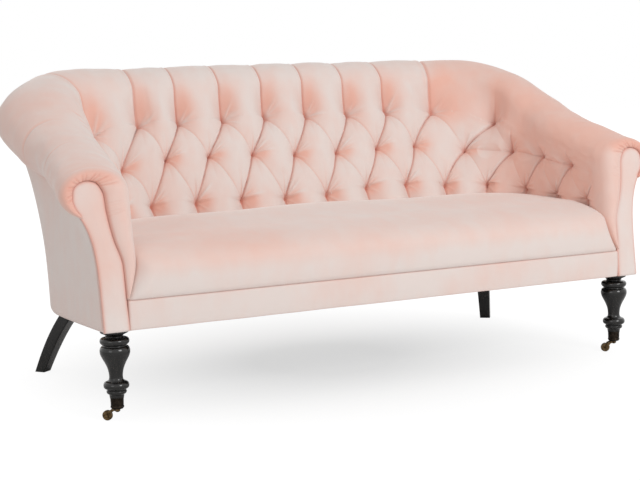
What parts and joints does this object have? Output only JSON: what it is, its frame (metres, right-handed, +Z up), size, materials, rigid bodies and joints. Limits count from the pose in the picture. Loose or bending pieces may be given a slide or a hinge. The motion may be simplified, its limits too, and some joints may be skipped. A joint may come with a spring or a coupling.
{
  "type": "settee",
  "caption": "Rolled-arm settee with a diamond-tufted curved back, one crowned seat, turned front legs on casters and raked rear legs.",
  "frame": {"origin": "on the floor under the middle of the settee's outline", "axes": "+X to the right seen from the front, -Y out of the seat's front, +Z up"},
  "size_m": [1.7394, 0.8623, 0.846],
  "materials": {
    "velvet": "blush pink cotton velvet, short pile",
    "ebonised_wood": "near-black stained hardwood, satin lacquer",
    "antique_brass": "dark antique brass",
    "steel": "plain steel",
    "ash_frame": "unfinished hardwood",
    "felt": "grey felt",
    "black_cloth": "black dust cloth"
  },
  "bodies": {
    "settee": {"back_pad": "velvet", "outside_back": "velvet", "seat_rail_back": "ash_frame", "seat_rail_front": "ash_frame", "front_border": "velvet", "spring_rail": "ash_frame", "crest_core": "ash_frame", "back_rib_1": "ash_frame", "back_rib_2": "ash_frame", "back_rib_3": "ash_frame", "back_rib_4": "ash_frame", "seat_spring_1": "steel", "seat_spring_2": "steel", "seat_spring_3": "steel", "seat_spring_4": "steel", "seat_spring_5": "steel", "seat_deck": "felt", "seat_cushion": "velvet", "dust_cover": "black_cloth", "arm_pad_left": "velvet", "outside_arm_left": "velvet", "arm_facing_left": "velvet", "seat_rail_left": "ash_frame", "corner_rail_left": "ash_frame", "corner_core_left": "ash_frame", "arm_core_left": "ash_frame", "corner_rib_left": "ash_frame", "arm_rib_left": "ash_frame", "corner_block_left": "ash_frame", "front_leg_left": "ebonised_wood", "rear_leg_left": "ebonised_wood", "front_plate_left": "steel", "rear_plate_left": "steel", "caster_cup_left": "antique_brass", "arm_pad_right": "velvet", "outside_arm_right": "velvet", "arm_facing_right": "velvet", "seat_rail_right": "ash_frame", "corner_rail_right": "ash_frame", "corner_core_right": "ash_frame", "arm_core_right": "ash_frame", "corner_rib_right": "ash_frame", "arm_rib_right": "ash_frame", "corner_block_right": "ash_frame", "front_leg_right": "ebonised_wood", "rear_leg_right": "ebonised_wood", "front_plate_right": "steel", "rear_plate_right": "steel", "caster_cup_right": "antique_brass"},
    "horn_left": {"caster_horn_left": "antique_brass", "caster_axle_left": "steel"},
    "wheel_left": {"caster_wheel_left": "antique_brass"},
    "horn_right": {"caster_horn_right": "antique_brass", "caster_axle_right": "steel"},
    "wheel_right": {"caster_wheel_right": "antique_brass"}
  },
  "joints": [
    {"name": "caster_swivel_left", "type": "hinge", "parent": "settee", "child": "horn_left", "pos_m": [-0.74904, -0.369, 0.025], "axis": [0, 0, 1], "continuous": true},
    {"name": "caster_roll_left", "type": "hinge", "parent": "horn_left", "child": "wheel_left", "pos_m": [-0.76895, -0.35229, 0.0125], "axis": [-0.6428, -0.766, 0], "continuous": true},
    {"name": "caster_swivel_right", "type": "hinge", "parent": "settee", "child": "horn_right", "pos_m": [0.74904, -0.369, 0.025], "axis": [0, 0, 1], "continuous": true},
    {"name": "caster_roll_right", "type": "hinge", "parent": "horn_right", "child": "wheel_right", "pos_m": [0.72392, -0.36227, 0.0125], "axis": [-0.2588, -0.9659, 0], "continuous": true}
  ]
}
